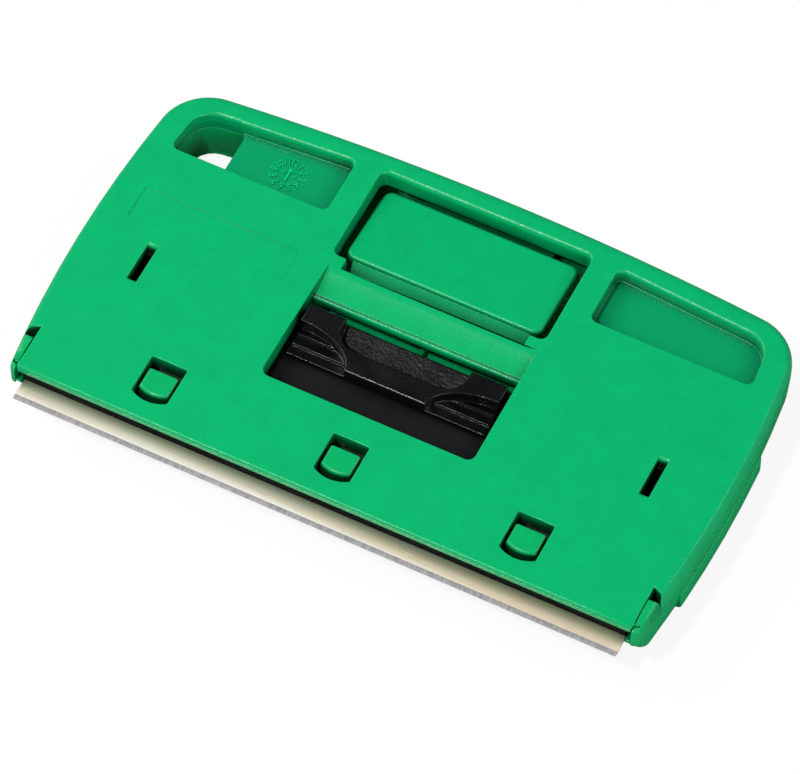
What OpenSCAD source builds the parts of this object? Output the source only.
// Pocket scraper with a wide razor blade.
// Two moulded half shells are hinged at the front ears and latched at the rear. The blade
// lies on the bed of the base, held by three posts, and a guard slides out over its edge.
// Millimetres, +Z up, the blade's edge towards -Y, the origin at the middle of the
// underside. "Behind the lip" is measured rearwards from the front lip of the lid.

/* [Body] */
// Width across the widest place, without the grips
body_w = 108.6; // [105:0.2:114]
// Depth of the lid from its front lip to the rear arch
body_d = 60.6; // [60.2:0.2:66]
// Height of the closed housing
body_h = 10.6; // [10.2:0.1:13]
// Radius of each side's shallow curve
side_r = 200; // [160:5:260]
// Radius of the rear arch
rear_r = 480; // [300:10:700]
// Radius of the two rear corners
corner_r = 8.6; // [7.5:0.1:11]
// Widest place behind the lip
widest_at = 29; // [24:0.5:32]
// Thickness of the outer walls
wall_t = 2; // [1.6:0.1:2.4]
// Thickness of the base's bottom skin
floor_t = 1.8; // [1.2:0.1:2.4]
// How far the side grips stand out
grip_out = 0.35; // [0.2:0.05:0.9]

/* [Lid] */
// Height of the lid's rim above the parting line
rim_h = 3.4; // [3.3:0.05:3.6]
// Thickness of the lid's plate
plate_t = 2.2; // [2.1:0.05:2.3]
// Height of the rounded top edge
top_round = 2; // [1:0.1:2.4]
// Width of that rounding at the sides as a share of its height
side_share = 0.45; // [0.3:0.05:1]
// Thickness of the skirts under the lid
skirt_t = 1.2; // [0.8:0.1:1.4]
// Gap beside the thumb slide in its window
window_gap = 1; // [0.6:0.1:3]
// Gap in front of the thumb slide with the guard pushed out
window_front_gap = 0.8; // [0.5:0.1:1.5]
// Gap behind the thumb slide at rest
window_rear_gap = 1.9; // [1.2:0.1:2.8]
// Depth of the finger scoop at the window's rear edge
scoop_drop = 1.5; // [0.8:0.1:1.7]
// Gap beside the release pad in its opening
opening_gap = 1.4; // [0.8:0.1:3]
// Front edge of the release opening behind the lip
opening_front = 39.4; // [39.2:0.1:39.8]
// Rear edge of the release opening behind the lip
opening_rear = 56.4; // [56:0.1:56.8]
// Gap beside the pad's neck in its narrow slot
slot_gap = 0.4; // [0.2:0.1:1]
// Front edge of that slot behind the lip
slot_front = 37.4; // [37:0.1:37.8]

/* [Pockets] */
// Depth of the two rear pockets
pocket_depth = 2.5; // [1.6:0.1:2.7]
// Front edge of the pockets behind the lip
pocket_front = 45.9; // [44:0.1:48]
// Inner end of the pockets from the middle
pocket_inner = 22.2; // [20.6:0.1:26]
// Rim left behind the pockets
pocket_rim = 4; // [3.6:0.1:4.6]
// Rim left beside the pockets
pocket_side = 4.5; // [4:0.1:5]
// Inner side of the hang hole from the body's widest place
hang_in = 13.8; // [11:0.1:16]

/* [Blade] */
// Width of the blade
blade_w = 100; // [94:0.5:100.4]
// Depth of the blade from its edge to its back
blade_d = 18; // [17:0.1:18.4]
// Thickness of the blade
blade_t = 0.4; // [0.3:0.05:0.6]
// Width of the ground bevels
bevel_w = 0.8; // [0.4:0.1:1.4]
// How far the edge stands in front of the lip
blade_out = 3.2; // [2.6:0.1:3.6]

/* [Posts] */
// Spacing of the three posts as a share of the blade's width
post_share = 0.305; // [0.28:0.005:0.34]
// Half width of a post
post_half = 2.55; // [2.2:0.05:2.8]
// Front of a post behind the lip
post_front = 4.6; // [4.4:0.1:5]
// Flat rear of a post behind the lip
post_rear = 8.9; // [8.2:0.1:9.4]

/* [Guard] */
// Thickness of the guard plate
guard_t = 0.8; // [0.6:0.02:0.8]
// Travel of the guard
guard_travel = 5.2; // [4.2:0.1:5.4]
// Depth of the guard plate
guard_d = 30.6; // [29:0.1:31]
// How far its front bead stands in front of the lip
guard_out = 0.1; // [0:0.1:1]
// Guide slots of the lid inwards from the blade's ends
guide_in = 7.2; // [4:0.1:11]
// Width of the guide slots
guide_w = 1.6; // [1.2:0.1:2]
// Front end of the guide slots behind the lip
guide_front = 21.7; // [21:0.1:22.4]
// Half width of the thumb slide
slide_half = 16.6; // [15:0.1:17]
// Front of the thumb slide behind the lip
slide_front = 21.3; // [21.1:0.1:22]
// Depth of the thumb slide
slide_d = 8.5; // [8:0.1:9]

/* [Release] */
// Half width of the release pad
pad_half = 16.5; // [16.5:0.1:17.1]
// Front of the release pad behind the lip
pad_front = 40.7; // [40.5:0.1:41.2]
// Rear of the release pad behind the lip
pad_rear = 54.1; // [53.4:0.1:54.2]
// Thickness of the release pad
pad_t = 1.4; // [1.1:0.1:1.5]
// Depth of the pad's front edge below the lid's top
pad_drop = 1.2; // [1:0.1:1.4]
// Depth of its rear edge below the lid's top
pad_sink = 2.4; // [2.1:0.1:2.5]

/* [Hidden] */
// Overrun of every cut, and how far joined solids reach into each other
over = 1;
bite = 0.01;
$fn = 48;

// Clearances: seated faces, running faces, and fits in the plan
seat_gap = 0.05;
run_gap = 0.1;
fit_gap = 0.15;

// Outline, with its front cut at the lip
front_y = -body_d / 2;
rear_y = body_d / 2;
// The places behind the lip are given for a body of this depth, and spread with it
place_d = 60.6;
depth_share = body_d / place_d;
side_c = [body_w / 2 - side_r, front_y + widest_at];
rear_c = [0, rear_y - rear_r];
side_steps = 8;
corner_steps = 10;
arch_steps = 8;
round_steps = 5;

// Levels, from the bottom up
parting_z = body_h - rim_h;
plate_z = body_h - plate_t;
blade_drop = 0.4;
deck_z = parting_z - blade_drop - blade_t;
guard_z = deck_z + blade_t + seat_gap;
guard_top = guard_z + guard_t;
frame_z = guard_top + run_gap;

// Base: nose, taper, the blade's bed and ribs
nose_r = 1.5;
nose_out = 0.4;
nose_slant = 3.6;
bottom_round = 2.2;
draft = 0.3;
grip_front = 11.5;
grip_rear = 38.6;
grip_low = 1;
grip_high = 5.3;
blade_rear = front_y + blade_d - blade_out + fit_gap;
bed_rear = blade_rear + wall_t;
cell_front = 5.5;
cell_land = 1.5;
cell_side = 2;
cells = 4;
rib_t = 1;
ribs = 2;
post_top_gap = 0.3;
post_bulge = 0.7;
post_round = 0.6;
post_pitch = post_share * blade_w;
hang_inner = body_w / 2 - hang_in;
hang_wall = 1.4;

// Hinge: the lid's stubs turn in blind bores of the ears
axis_y = front_y + plate_t / 2;
axis_z = body_h - plate_t / 2;
stub_r = 0.7;
stub_len = 0.7;
ear_t = 1.3;
ear_in = side_x(axis_y, 0) - ear_t;
ear_out = 0.5;
ear_rear = 5.8;
ear_crease = 3.3;
ear_fall = 0.6;
ear_round = 0.8;
lid_half = ear_in - fit_gap;
notch_rear = 7.9;
notch_lean = 0.7;
notch_out = 1.5;
notch_r = 0.9;

// Lid details
lip_round = 0.4;
edge_round = 0.6;
hole_gap = 0.42;
hole_front = 3.2;
hole_rear = 10.7;
hole_bulge = 0.9;
window_r = 1.2;
window_half = slide_half + window_gap;
window_y = back(slide_front) - guard_travel - window_front_gap;
window_end = back(slide_front) + slide_d + window_rear_gap;
opening_half = pad_half + opening_gap;
opening_r = 1.2;
pocket_r = 1.2;
scoop_r = 22;
root_low = 4.8;

// Guard and thumb slide
bead_d = 1.2;
pin_w = 1.2;
pin_d = 1;
pin_top_gap = 1;
guide_x = blade_w / 2 - guide_in;
guide_d = guard_travel + pin_d + 2 * fit_gap;
guide_chamfer = 0.5;
tread_drop = 1.95;
tread_h = 0.5;
tread_pitch = 1.9;
crown_drop = 0.1;
crown_fall = 0.25;
crown_round = 0.4;
horn_w = 9.85;
horn_d = 5.2;
bay_half = 10.5;
bay_d = 4.8;
bay_r = 3.4;

// Release tongue and its catch
pad_d = (pad_rear - pad_front) * depth_share;
pad_tilt = atan2(pad_sink - pad_drop, pad_d);
pad_r = 1.5;
neck_t = 1.2;
neck_flat = 1.3;
neck_foot = 1.5;
neck_half = pad_half - pad_r;
slot_half = neck_half + slot_gap;
leg_half = 9;
leg_t = 1.2;
leg_inset = 0.4;
hook_out = 1.05;
hook_h = 0.9;
hook_lift = 1.6;
hook_z = floor_t + hook_lift;
catch_z = hook_z + hook_h + run_gap;
catch_t = 1.2;
catch_half = 11;
catch_grip = 0.35;
gusset_d = 2.6;
gussets = 1;

green = "#04B26B";
black = "#26272A";
steel = "#D9D5CC";

// Depth coordinate of a place behind the lip. Places behind the blade spread with the body's depth.
function lip(d) = front_y + d;
function back(d) = lip(d * depth_share);

function angle(v) = atan2(v[1], v[0]);

// Half width of the outline, moved in by inset, at a given depth
function side_x(y, inset) = side_c[0] + sqrt(pow(side_r - inset, 2) - pow(y - side_c[1], 2));

// Depth of the rear arch, moved in by inset, at a given x
function arch_y(x, inset) = rear_c[1] + sqrt(pow(rear_r - inset, 2) - x * x);

// Where two circles meet, on the side of larger x
function meet(a, ra, b, rb) =
    let (d = b - a, n = norm(d), s = (n * n + ra * ra - rb * rb) / (2 * n))
    a + (s * d + sqrt(ra * ra - s * s) * [-d[1], d[0]]) / n;

// Points along an arc
function arc(c, r, from, to, steps) = spiral(c, r, r, from, to, steps);

// Points along an arc whose radius goes evenly from r0 to r1
function spiral(c, r0, r1, from, to, steps) =
    [for (i = [0:steps])
        let (u = i / steps, a = from + (to - from) * u)
        c + (r0 + (r1 - r0) * u) * [cos(a), sin(a)]];

// Right half of the outline, from its front round to the middle of the arch. The side moves in
// by a share of the inset, and the corner passes from that to the whole inset of the arch.
function half_outline(inset, front, nose, share) =
    let (
        s = inset * share,
        c = meet(side_c, side_r - corner_r, rear_c, rear_r - corner_r),
        n = [side_x(front + nose, s + nose), front + nose]
    )
    concat(
        nose > 0 ? arc(n, nose, -90, angle(n - side_c), round_steps) : [],
        arc(side_c, side_r - s, angle(n - side_c), angle(c - side_c), side_steps),
        spiral(c, corner_r - s, corner_r - inset, angle(c - side_c), angle(c - rear_c), corner_steps),
        arc(rear_c, rear_r - inset, angle(c - rear_c), 90, arch_steps)
    );

// Whole outline: the right half and its mirror image
function outline(inset, front, nose = 0, share = 1) =
    let (h = half_outline(inset, front, nose, share), n = len(h))
    concat(h, [for (i = [n - 2:-1:0]) [-h[i][0], h[i][1]]]);

// A polygon with each corner rounded by its own radius
function rounded(pts, radii, steps = round_steps) =
    let (n = len(pts))
    [for (i = [0:n - 1]) each corner(pts[(i + n - 1) % n], pts[i], pts[(i + 1) % n], radii[i], steps)];

function corner(a, b, c, r, steps) =
    r <= 0 ? [b] :
    let (
        u = (a - b) / norm(a - b),
        v = (c - b) / norm(c - b),
        h = acos(u * v) / 2,
        m = b + (u + v) / norm(u + v) * r / sin(h),
        p = b + u * r / tan(h) - m,
        q = b + v * r / tan(h) - m,
        turn = atan2(p[0] * q[1] - p[1] * q[0], p * q)
    )
    arc(m, r, angle(p), angle(p) + turn, steps);

// Corners of a rectangle, anticlockwise from the one with the smallest coordinates
function rect(x0, x1, y0, y1) = [[x0, y0], [x1, y0], [x1, y1], [x0, y1]];

// A block from its lowest corner to its highest
module block(a, b) {
    translate(a) cube(b - a);
}

// A profile drawn in depth and height, stretched along X
module along_x(from, to) {
    translate([from, 0, 0]) rotate([90, 0, 90]) linear_extrude(to - from) children();
}

// A profile drawn in x and height, stretched along Y
module along_y(from, to) {
    translate([0, to, 0]) rotate([90, 0, 0]) linear_extrude(to - from) children();
}

// A profile drawn in the plan, stretched upwards
module upwards(from, to) {
    translate([0, 0, from]) linear_extrude(to - from) children();
}

module both_sides() {
    children();
    mirror([1, 0, 0]) children();
}

// What a rounding takes off a corner at depth y whose faces look forwards and up
module edge_cut(half, y, z, r) {
    along_x(-half, half)
        difference() {
            translate([y - over, z - r]) square(r + over);
            translate([y + r, z - r]) circle(r);
        }
}

// A solid lofted through slices of the outline, each given as [height, inset, front, nose]
module shell(slices, share = 1) {
    loft([for (s = slices) [for (p = outline(s[1], s[2], s[3], share)) [p[0], p[1], s[0]]]]);
}

// Slices that round off the top edge
function top_slices(front, nose) =
    [for (i = [0:round_steps])
        let (a = 90 * i / round_steps)
        [body_h - top_round * (1 - sin(a)), top_round * (1 - cos(a)), front, nose]];

// A solid lofted through rings of points, from the bottom up
module loft(rings) {
    n = len(rings[0]);
    top = n * (len(rings) - 1);
    polyhedron(
        [for (r = rings) each r],
        concat(
            [[for (i = [0:n - 1]) i]],
            [for (k = [0:n:top - n], i = [0:n - 1]) [k + i, k + n + i, k + n + (i + 1) % n]],
            [for (k = [0:n:top - n], i = [0:n - 1]) [k + i, k + n + (i + 1) % n, k + (i + 1) % n]],
            [[for (i = [n - 1:-1:0]) top + i]]
        )
    );
}

// Plan of a post and of what goes round it: flat at the rear, an arc at the front
module post_profile(half, front, rear, bulge, grow = 0) {
    r = (half * half + bulge * bulge) / (2 * bulge);
    intersection() {
        translate([-half - grow, lip(front) - grow]) square([2 * (half + grow), rear - front + 2 * grow]);
        translate([0, lip(front) + r]) circle(r + grow, $fn = 96);
    }
}

module at_posts() {
    for (i = [-1:1]) translate([i * post_pitch, 0, 0]) children();
}

// Plan of a pocket on the right, from its inner end to the rim. The hang hole shares it.
module pocket_profile(inner, grow = 0) {
    rim = pocket_rim - grow;
    side = pocket_side - grow;
    y = back(pocket_front) - grow;
    x = inner - grow;
    r = pocket_r + grow;
    outer = meet(side_c, side_r - side, rear_c, rear_r - rim);
    polygon(rounded([[x, y], [side_x(y, side), y], outer, [x, arch_y(x, rim)]], [r, r, corner_r - side, r]));
}

// Base: a tray with the blade's bed in front and the latch's catch at the rear

module base_shell() color(green) {
    difference() {
        union() {
            difference() {
                base_outer();
                upwards(floor_t, body_h) polygon(outline(wall_t, bed_rear));
                bed_cells();
            }
            base_ribs();
            hang_corner();
            catch_shelf();
            ears();
        }
        blade_seat();
        mirror([1, 0, 0]) upwards(-over, body_h) pocket_profile(hang_inner);
        both_sides() along_x(ear_in - over, ear_in + stub_len + run_gap) hinge_circle(stub_r + seat_gap);
    }
    at_posts() post();
}

function base_front(z) = lip(-nose_out) + nose_slant * (1 - z / parting_z);

// The rounded bottom edge, as slices for the shell
function base_slices() =
    [for (i = [round_steps:-1:0])
        let (a = 90 * i / round_steps, z = bottom_round * (1 - sin(a)), in = bottom_round * (1 - cos(a)))
        [z, draft + in, base_front(z) + in, nose_r]];

module base_outer() {
    shell(concat(base_slices(), [[parting_z, 0, base_front(parting_z), nose_r]]));
    intersection() {
        shell([
            [grip_low, 0, front_y, 0],
            [grip_low + grip_out, -grip_out, front_y, 0],
            [grip_high - grip_out, -grip_out, front_y, 0],
            [grip_high, 0, front_y, 0]
        ]);
        block([-body_w, back(grip_front), 0], [body_w, back(grip_rear), parting_z]);
    }
}

// The bed is cored out between its front land and the land under the blade's rear edge
module bed_cells() {
    half = blade_w / 2 - cell_side;
    pitch = post_pitch / (cells - 1);
    difference() {
        block([-half, lip(cell_front), floor_t], [half, blade_rear - cell_land, body_h]);
        for (i = [-cells:cells])
            block([i * pitch - rib_t / 2, front_y, 0], [i * pitch + rib_t / 2, rear_y, body_h]);
    }
}

// Ribs along the floor behind the bed
module base_ribs() {
    for (i = [-ribs:ribs])
        block([i * post_pitch / ribs - rib_t / 2, bed_rear - bite, floor_t - bite],
            [i * post_pitch / ribs + rib_t / 2, back(pad_front), deck_z / 2]);
}

// The corner is solid round the hang hole
module hang_corner() {
    intersection() {
        upwards(floor_t - bite, parting_z) polygon(outline(wall_t / 2, front_y));
        block([-body_w, back(pocket_front) - hang_wall, 0], [hang_wall - hang_inner, rear_y, body_h]);
    }
}

// The shelf that the lid's hook catches under
module catch_shelf() {
    top = catch_z + catch_t;
    intersection() {
        union() {
            block([-catch_half, back(pad_rear) - leg_inset + hook_out - catch_grip, catch_z],
                [catch_half, rear_y, top]);
            for (i = [-gussets:gussets])
                block([i * leg_half - rib_t / 2, rear_y - wall_t - gusset_d, floor_t - bite],
                    [i * leg_half + rib_t / 2, rear_y, top]);
        }
        upwards(0, parting_z) polygon(outline(wall_t / 2, front_y));
    }
}

// The ears rise above the parting line beside the front of the lid
module ears() {
    side = [
        [lip(-ear_out), 0], [lip(ear_rear), 0], [lip(ear_rear), body_h],
        [lip(ear_crease), body_h], [lip(-ear_out), body_h - ear_fall]
    ];
    intersection() {
        shell(concat([[deck_z, 0, lip(-ear_out), nose_r]], top_slices(lip(-ear_out), nose_r)), side_share);
        both_sides() along_x(ear_in, body_w) polygon(rounded(side, [0, 0, post_round, 0, ear_round]));
    }
}

// The room that the blade and the guard need above the bed
module blade_seat() {
    half = blade_w / 2 + fit_gap;
    block([-half, lip(-blade_out), deck_z], [half, blade_rear, body_h]);
    block([-half, lip(-blade_out), deck_z + blade_t], [half, bed_rear + over, body_h]);
}

// One height of a post, anticlockwise: the arc of its front, then its flat rear
function post_ring(z, inset) =
    let (
        r = (post_half * post_half + post_bulge * post_bulge) / (2 * post_bulge),
        c = [0, lip(post_front) + r],
        half = post_half - inset,
        turn = asin(half / (r - inset)),
        front = arc(c, r - inset, -90 - turn, -90 + turn, corner_steps)
    )
    [for (p = concat(front, [[half, lip(post_rear)], [-half, lip(post_rear)]])) [p[0], p[1], z]];

module post() {
    top = body_h - post_top_gap - post_round;
    loft(concat(
        [post_ring(floor_t - bite, 0)],
        [for (i = [0:round_steps])
            let (a = 90 * i / round_steps)
            post_ring(top + post_round * sin(a), post_round * (1 - cos(a)))]
    ));
}

module hinge_circle(r) {
    translate([axis_y, axis_z]) circle(r);
}

// Lid: a plate with a rim, openings and pockets, and skirts below

module lid_shell() color(green) {
    difference() {
        union() {
            difference() {
                lid_outer();
                upwards(0, plate_z) polygon(outline(wall_t, front_y - over));
                block([-body_w, front_y - over, 0], [body_w, axis_y, axis_z]);
            }
            along_x(-lid_half, lid_half) hinge_circle(plate_t / 2);
            lid_skirts();
        }
        both_sides() {
            corner_notch();
            guide_slot();
            upwards(body_h - pocket_depth, body_h + over) pocket_profile(pocket_inner);
        }
        upwards(0, body_h + over) {
            window_profile();
            opening_profile();
            mirror([1, 0]) pocket_profile(hang_inner);
            at_posts() post_profile(post_half + hole_gap, hole_front, hole_rear, hole_bulge);
        }
        scoop();
        edge_cut(body_w, front_y, body_h, lip_round);
        edge_cut(window_half, window_end, body_h - scoop_drop, edge_round);
    }
    both_sides() along_x(lid_half - bite, ear_in + stub_len) hinge_circle(stub_r);
}

module lid_outer() {
    shell(concat([[parting_z, 0, front_y, 0]], top_slices(front_y, 0)), side_share);
}

// Frames round the openings, floors of the pockets, and the wall that the tongue grows from
module lid_skirts() {
    top = plate_z + bite;
    upwards(frame_z, top) {
        window_profile(skirt_t);
        at_posts() post_profile(post_half + hole_gap, hole_front, hole_rear, hole_bulge, skirt_t);
    }
    upwards(parting_z, top) {
        opening_profile(skirt_t);
        pocket_profile(pocket_inner, skirt_t);
        mirror([1, 0]) pocket_profile(pocket_inner, skirt_t);
    }
    block([-slot_half, back(slot_front) - skirt_t, body_h - root_low], [slot_half, back(slot_front), top]);
    for (i = [-ribs:ribs])
        block([i * post_pitch / ribs - rib_t / 2, lip(hole_rear) + skirt_t - bite, frame_z],
            [i * post_pitch / ribs + rib_t / 2, back(slot_front), top]);
}

module window_profile(grow = 0) {
    r = window_r + grow;
    half = window_half + grow;
    polygon(rounded(rect(-half, half, window_y - grow, window_end + grow), [r, r, 0, 0]));
}

// The release opening, with the narrow slot for the neck in front of it
module opening_profile(grow = 0) {
    r = opening_r + grow;
    x0 = slot_half + grow;
    x1 = opening_half + grow;
    y0 = back(slot_front) - grow;
    y1 = back(opening_front) - grow;
    y2 = back(opening_rear) + grow;
    polygon(rounded(
        [[-x0, y0], [x0, y0], [x0, y1], [x1, y1], [x1, y2], [-x1, y2], [-x1, y1], [-x0, y1]],
        [0, 0, 0, r, r, r, r, 0]
    ));
}

// The lid is cut back beside and behind the ears
module corner_notch() {
    y = lip(ear_rear) + fit_gap;
    upwards(0, body_h + over)
        polygon(rounded([
            [lid_half, front_y - over], [body_w, front_y - over], [body_w, y], [side_x(y, fit_gap), y],
            [lid_half + notch_out, lip(notch_rear - notch_lean)], [lid_half, lip(notch_rear)]
        ], [0, 0, 0, 0, notch_r, 0]));
}

module guide_slot() {
    y0 = back(guide_front);
    y1 = y0 + guide_d;
    z = body_h - guide_chamfer;
    translate([guide_x, 0, 0]) {
        block([-guide_w / 2, y0, 0], [guide_w / 2, y1, body_h + over]);
        along_x(-guide_w / 2, guide_w / 2)
            polygon([
                [y0 - guide_chamfer, body_h], [y0, z], [y1, z],
                [y1 + guide_chamfer, body_h], [y1, body_h + over], [y0, body_h + over]
            ]);
    }
}

// Finger scoop between the thumb window and the release opening: part of a wide cylinder
module scoop() {
    a = [window_end, body_h - scoop_drop];
    b = [back(slot_front), body_h];
    d = b - a;
    c = (a + b) / 2 + sqrt(pow(scoop_r / norm(d), 2) - 1 / 4) * [-d[1], d[0]];
    intersection() {
        along_x(-window_half, window_half) translate(c) circle(scoop_r, $fn = 180);
        block([-body_w, a[0] - over, 0], [body_w, b[0], body_h + over]);
    }
}

// Blade: one edge ground from both faces, and a hole for each post

module blade() color(steel) {
    y0 = lip(-blade_out);
    y1 = y0 + blade_d;
    z0 = deck_z;
    z1 = deck_z + blade_t;
    difference() {
        along_x(-blade_w / 2, blade_w / 2)
            polygon([[y0, (z0 + z1) / 2], [y0 + bevel_w, z0], [y1, z0], [y1, z1], [y0 + bevel_w, z1]]);
        at_posts() upwards(0, body_h) post_profile(post_half, post_front, post_rear, post_bulge, fit_gap);
    }
}

// Guard: a plate with slots for the posts, a bead at its front and two guide pins

module guard_plate() color(black) {
    half = blade_w / 2 - run_gap;
    y = lip(-guard_out);
    rear = back(guard_d - guard_out);
    pin_y = back(guide_front) + guide_d - fit_gap;
    slot = post_half + fit_gap;
    difference() {
        union() {
            block([-half, y, guard_z], [half, rear, guard_top]);
            block([-half, y, guard_z], [half, y + bead_d, plate_z - run_gap]);
        }
        at_posts() upwards(0, body_h) {
            post_profile(post_half, post_front, post_rear, post_bulge, fit_gap);
            polygon(rect(-slot, slot, lip(post_front + post_half), lip(post_rear + guard_travel) + fit_gap));
        }
    }
    both_sides()
        block([guide_x - pin_w / 2, pin_y - pin_d, guard_top - bite],
            [guide_x + pin_w / 2, pin_y, body_h - pin_top_gap]);
}

// Thumb slide: a crown over stepped treads, open at the front corners and in a rear bay

module thumb_slide() color(black) {
    y0 = back(slide_front);
    y1 = y0 + slide_d;
    z = body_h - tread_drop - tread_h;
    block([-slide_half, y0, guard_top], [slide_half, y1, z]);
    both_sides()
        for (i = [0:ceil(horn_d / tread_pitch) - 1])
            along_x(slide_half - horn_w, slide_half) tread(y0 + i * tread_pitch, z, 1);
    for (i = [0:ceil(bay_d / tread_pitch) - 1])
        along_x(-bay_half, bay_half) tread(y1 - i * tread_pitch, z, -1);
    intersection() {
        upwards(guard_top, body_h) crown_profile(y0, y1);
        along_x(-slide_half, slide_half)
            polygon(rounded(
                [[y0, 0], [y1, 0], [y1, body_h - crown_drop], [y0, body_h - crown_drop - crown_fall]],
                [0, 0, crown_round, crown_round]
            ));
    }
}

// A tread's steep face is at y, and its top falls away in the given direction
module tread(y, z, way) {
    polygon([[y, z - bite], [y + way * tread_pitch, z - bite], [y, z + tread_h]]);
}

module crown_profile(y0, y1) {
    horn = [for (i = [0:side_steps])
        let (a = 90 * i / side_steps)
        [slide_half - horn_w * cos(a), y0 + horn_d * sin(a)]];
    difference() {
        polygon(concat(
            [for (p = horn) [-p[0], p[1]]],
            [[-slide_half, y1], [slide_half, y1]],
            [for (i = [side_steps:-1:0]) horn[i]]
        ));
        polygon(rounded(rect(-bay_half, bay_half, y1 - bay_d, y1 + over), [bay_r, bay_r, 0, 0]));
    }
}

// Release pad: a rounded slab that falls towards the rear

module release_pad() color(green) {
    r = edge_round;
    translate([0, back(pad_front), body_h - pad_drop]) rotate([-pad_tilt, 0, 0])
        hull() {
            upwards(-pad_t, -r) pad_profile(0);
            for (i = [1:round_steps])
                let (a = 90 * i / round_steps, z = -r * (1 - sin(a)))
                upwards(z - bite, z) pad_profile(r * (1 - cos(a)));
        }
}

module pad_profile(inset) {
    r = pad_r - inset;
    polygon(rounded(rect(inset - pad_half, pad_half - inset, inset, pad_d - inset), [r, r, r, r]));
}

// A place on the tilted pad: u rearwards along its top, w upwards from it
function on_pad(u, w) = [
    back(pad_front) + u * cos(pad_tilt) + w * sin(pad_tilt),
    body_h - pad_drop - u * sin(pad_tilt) + w * cos(pad_tilt)
];

// Latch tongue: the springy neck in front of the pad, and the leg with the hook behind it

module latch_tongue() color(green) {
    y = back(slot_front);
    z = body_h - root_low;
    along_x(-neck_half, neck_half)
        polygon([
            [y, z], [y + neck_flat + neck_t / 2, z], on_pad(neck_foot, -pad_t), on_pad(0, -pad_t),
            on_pad(0, -edge_round), [y + neck_flat, z + neck_t], [y, z + neck_t]
        ]);
    rear = on_pad(pad_d - leg_inset, -pad_t);
    front = on_pad(pad_d - leg_inset - leg_t, -pad_t);
    along_x(-leg_half, leg_half)
        polygon([
            front, [front[0], hook_z], [rear[0] + hook_out / 2, hook_z],
            [rear[0] + hook_out, hook_z + hook_h / 2], [rear[0] + hook_out, hook_z + hook_h],
            [rear[0], hook_z + hook_h], rear
        ]);
}

base_shell();
lid_shell();
blade();
guard_plate();
thumb_slide();
release_pad();
latch_tongue();
